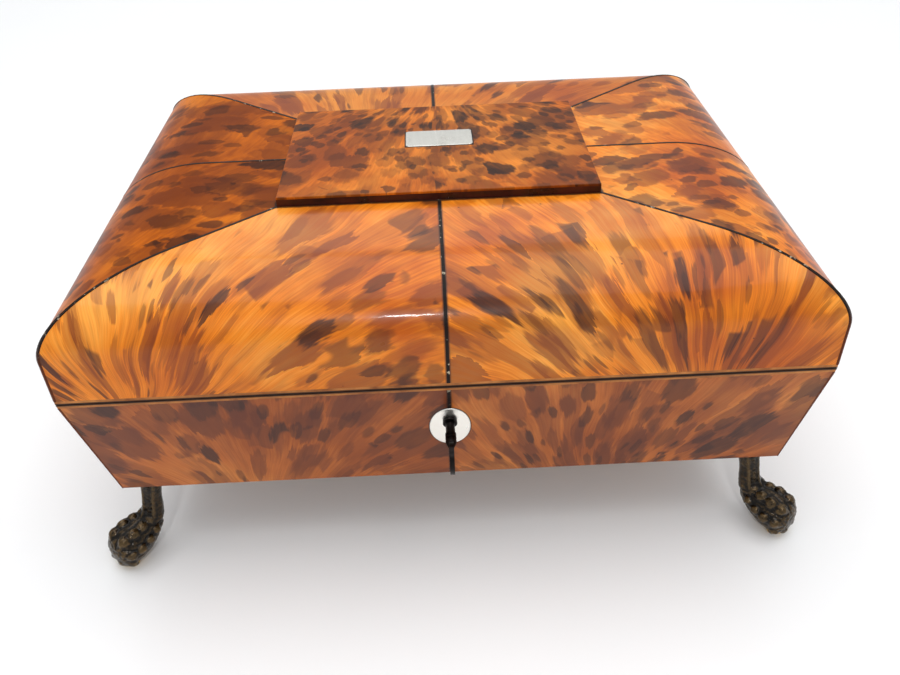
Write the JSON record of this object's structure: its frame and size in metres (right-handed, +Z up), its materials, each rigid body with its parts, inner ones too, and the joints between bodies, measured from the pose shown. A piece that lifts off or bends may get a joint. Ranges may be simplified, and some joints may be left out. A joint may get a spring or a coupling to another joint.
{
  "type": "antique sewing box",
  "caption": "Tapered tortoiseshell-veneered sewing box on cast paw feet, with a hinged cushion lid, lock with key and lift-out tray.",
  "frame": {"origin": "on the table plane under the middle of the case", "axes": "+Z up, -Y towards the front with the keyhole, +X to the right of someone facing the front"},
  "size_m": [0.2992, 0.2437, 0.1398],
  "materials": {
    "carcase_wood": "plain timber ground, waxed inside",
    "dark_edging": "dark stained edging, polished",
    "tortoiseshell": "amber ground with dark red-brown mottling, high polish",
    "dark_string": "dark stringing with bright metal flecks, polished",
    "pale_band": "pale horn-coloured edging, worn polish",
    "foot_bronze": "cast, dark patina with worn gold highlights",
    "lining_paper": "matt coloured paper",
    "tray_wood": "thin mahogany boards, waxed",
    "lock_brass": "lacquered brass, dulled",
    "steel": "plain steel",
    "silver": "polished silver, lightly worn",
    "key_iron": "dark forged iron, handled smooth",
    "silk": "faded silk over soft padding",
    "velvet": "short velvet pile",
    "bone": "turned bone, lightly polished"
  },
  "bodies": {
    "case": {"bottom_board": "carcase_wood", "base_edging": "dark_edging", "front_wall": "carcase_wood", "back_wall": "carcase_wood", "left_wall": "carcase_wood", "right_wall": "carcase_wood", "case_panel_front_left": "tortoiseshell", "case_panel_front_right": "tortoiseshell", "case_panels_back": "tortoiseshell", "case_panel_left": "tortoiseshell", "case_panel_right": "tortoiseshell", "case_strings": "dark_string", "case_band": "pale_band", "foot_front_left": "foot_bronze", "foot_front_right": "foot_bronze", "foot_back_left": "foot_bronze", "foot_back_right": "foot_bronze", "case_lining": "lining_paper", "tray_ledges": "tray_wood", "lock_case": "lock_brass", "lock_plate": "lock_brass", "lock_spring": "steel", "escutcheon": "silver", "hinge_case_leaves": "lock_brass", "hinge_pins": "steel", "case_screws": "steel"},
    "bolt": {"lock_bolt": "lock_brass"},
    "key": {"key": "key_iron"},
    "lid": {"lid_front_rail": "carcase_wood", "lid_back_rail": "carcase_wood", "lid_left_rail": "carcase_wood", "lid_right_rail": "carcase_wood", "lid_front_moulding": "carcase_wood", "lid_back_moulding": "carcase_wood", "lid_left_moulding": "carcase_wood", "lid_right_moulding": "carcase_wood", "lid_top_board": "carcase_wood", "plateau_core": "carcase_wood", "plateau_edging": "dark_edging", "plateau_panel": "tortoiseshell", "cartouche": "silver", "lid_panel_front_left": "tortoiseshell", "lid_panel_front_right": "tortoiseshell", "lid_panels_back": "tortoiseshell", "lid_panels_left": "tortoiseshell", "lid_panels_right": "tortoiseshell", "lid_strings": "dark_string", "lid_band": "pale_band", "lid_pad": "silk", "link_plate": "lock_brass", "hinge_lid_leaves": "lock_brass", "lid_screws": "steel"},
    "tray": {"tray_base": "tray_wood", "tray_walls": "tray_wood", "tray_partitions": "tray_wood", "pincushion": "velvet"},
    "tray_lid_left": {"tray_lid_left": "tray_wood", "tray_knob_left": "bone"},
    "tray_lid_right": {"tray_lid_right": "tray_wood", "tray_knob_right": "bone"}
  },
  "joints": [
    {"name": "lid_hinge", "type": "hinge", "parent": "case", "child": "lid", "pos_m": [0, 0.1117, 0.0922], "axis": [-1, 0, 0], "range_deg": [0, 95]},
    {"name": "key_turn", "type": "hinge", "parent": "case", "child": "key", "pos_m": [0, -0.10604, 0.07283], "axis": [0, -0.9883, -0.1527], "range_deg": [0, 360]},
    {"name": "bolt_slide", "type": "slide", "parent": "case", "child": "bolt", "axis": [-1, 0, 0], "range_m": [0, 0.005]},
    {"name": "tray_lift", "type": "slide", "parent": "case", "child": "tray", "axis": [0, 0, 1], "range_m": [0, 0.01]},
    {"name": "tray_lid_left_lift", "type": "slide", "parent": "tray", "child": "tray_lid_left", "axis": [0, 0, 1], "range_m": [0, 0.008]},
    {"name": "tray_lid_right_lift", "type": "slide", "parent": "tray", "child": "tray_lid_right", "axis": [0, 0, 1], "range_m": [0, 0.008]}
  ],
  "couplings": [
    {"joint": "key_turn", "follows": "bolt_slide", "rad_per_m": 1256.6}
  ]
}
